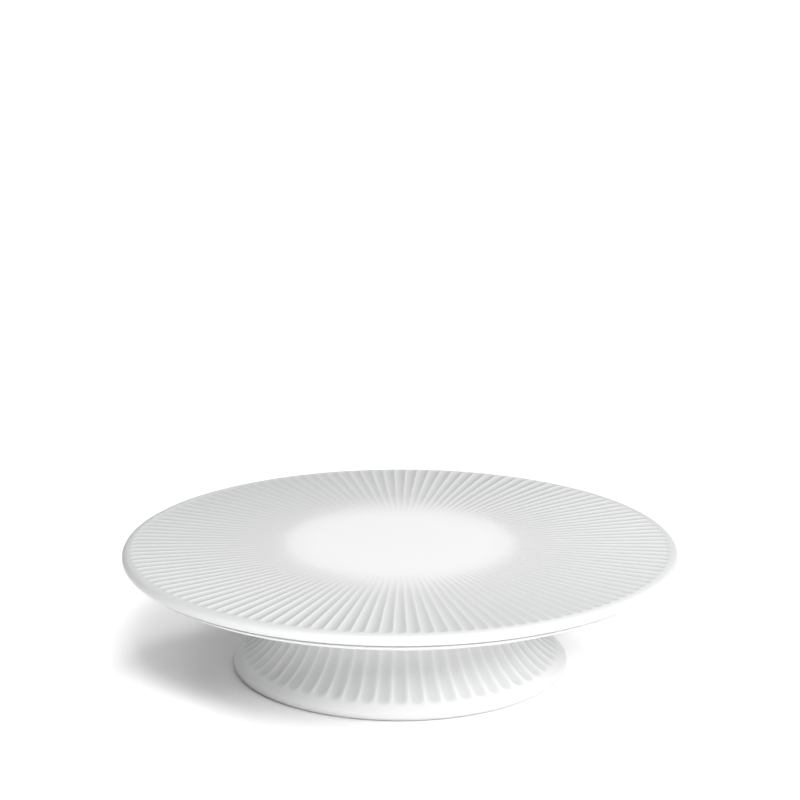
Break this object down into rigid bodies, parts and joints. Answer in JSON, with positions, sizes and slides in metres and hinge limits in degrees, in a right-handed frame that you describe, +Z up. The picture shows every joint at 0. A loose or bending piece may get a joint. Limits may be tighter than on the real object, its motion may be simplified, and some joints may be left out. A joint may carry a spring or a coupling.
{
  "type": "cake stand",
  "caption": "Low round cake stand in white glazed porcelain: a serving plate with radial flutes fading to a smooth middle, on a flared, fluted foot.",
  "frame": {"origin": "centre of the foot ring, on the surface the stand rests on", "axes": "+Z up along the axis of the stand; X and Y lie in the surface, with X through the middle of one flute of the plate and of one flute of the foot"},
  "size_m": [0.3, 0.3, 0.0682],
  "materials": {
    "plate_glaze": "gloss",
    "foot_glaze": "gloss",
    "slip_glaze": "gloss"
  },
  "bodies": {
    "root": {"plate": "plate_glaze", "foot": "foot_glaze", "slip_seam": "slip_glaze"}
  },
  "joints": []
}
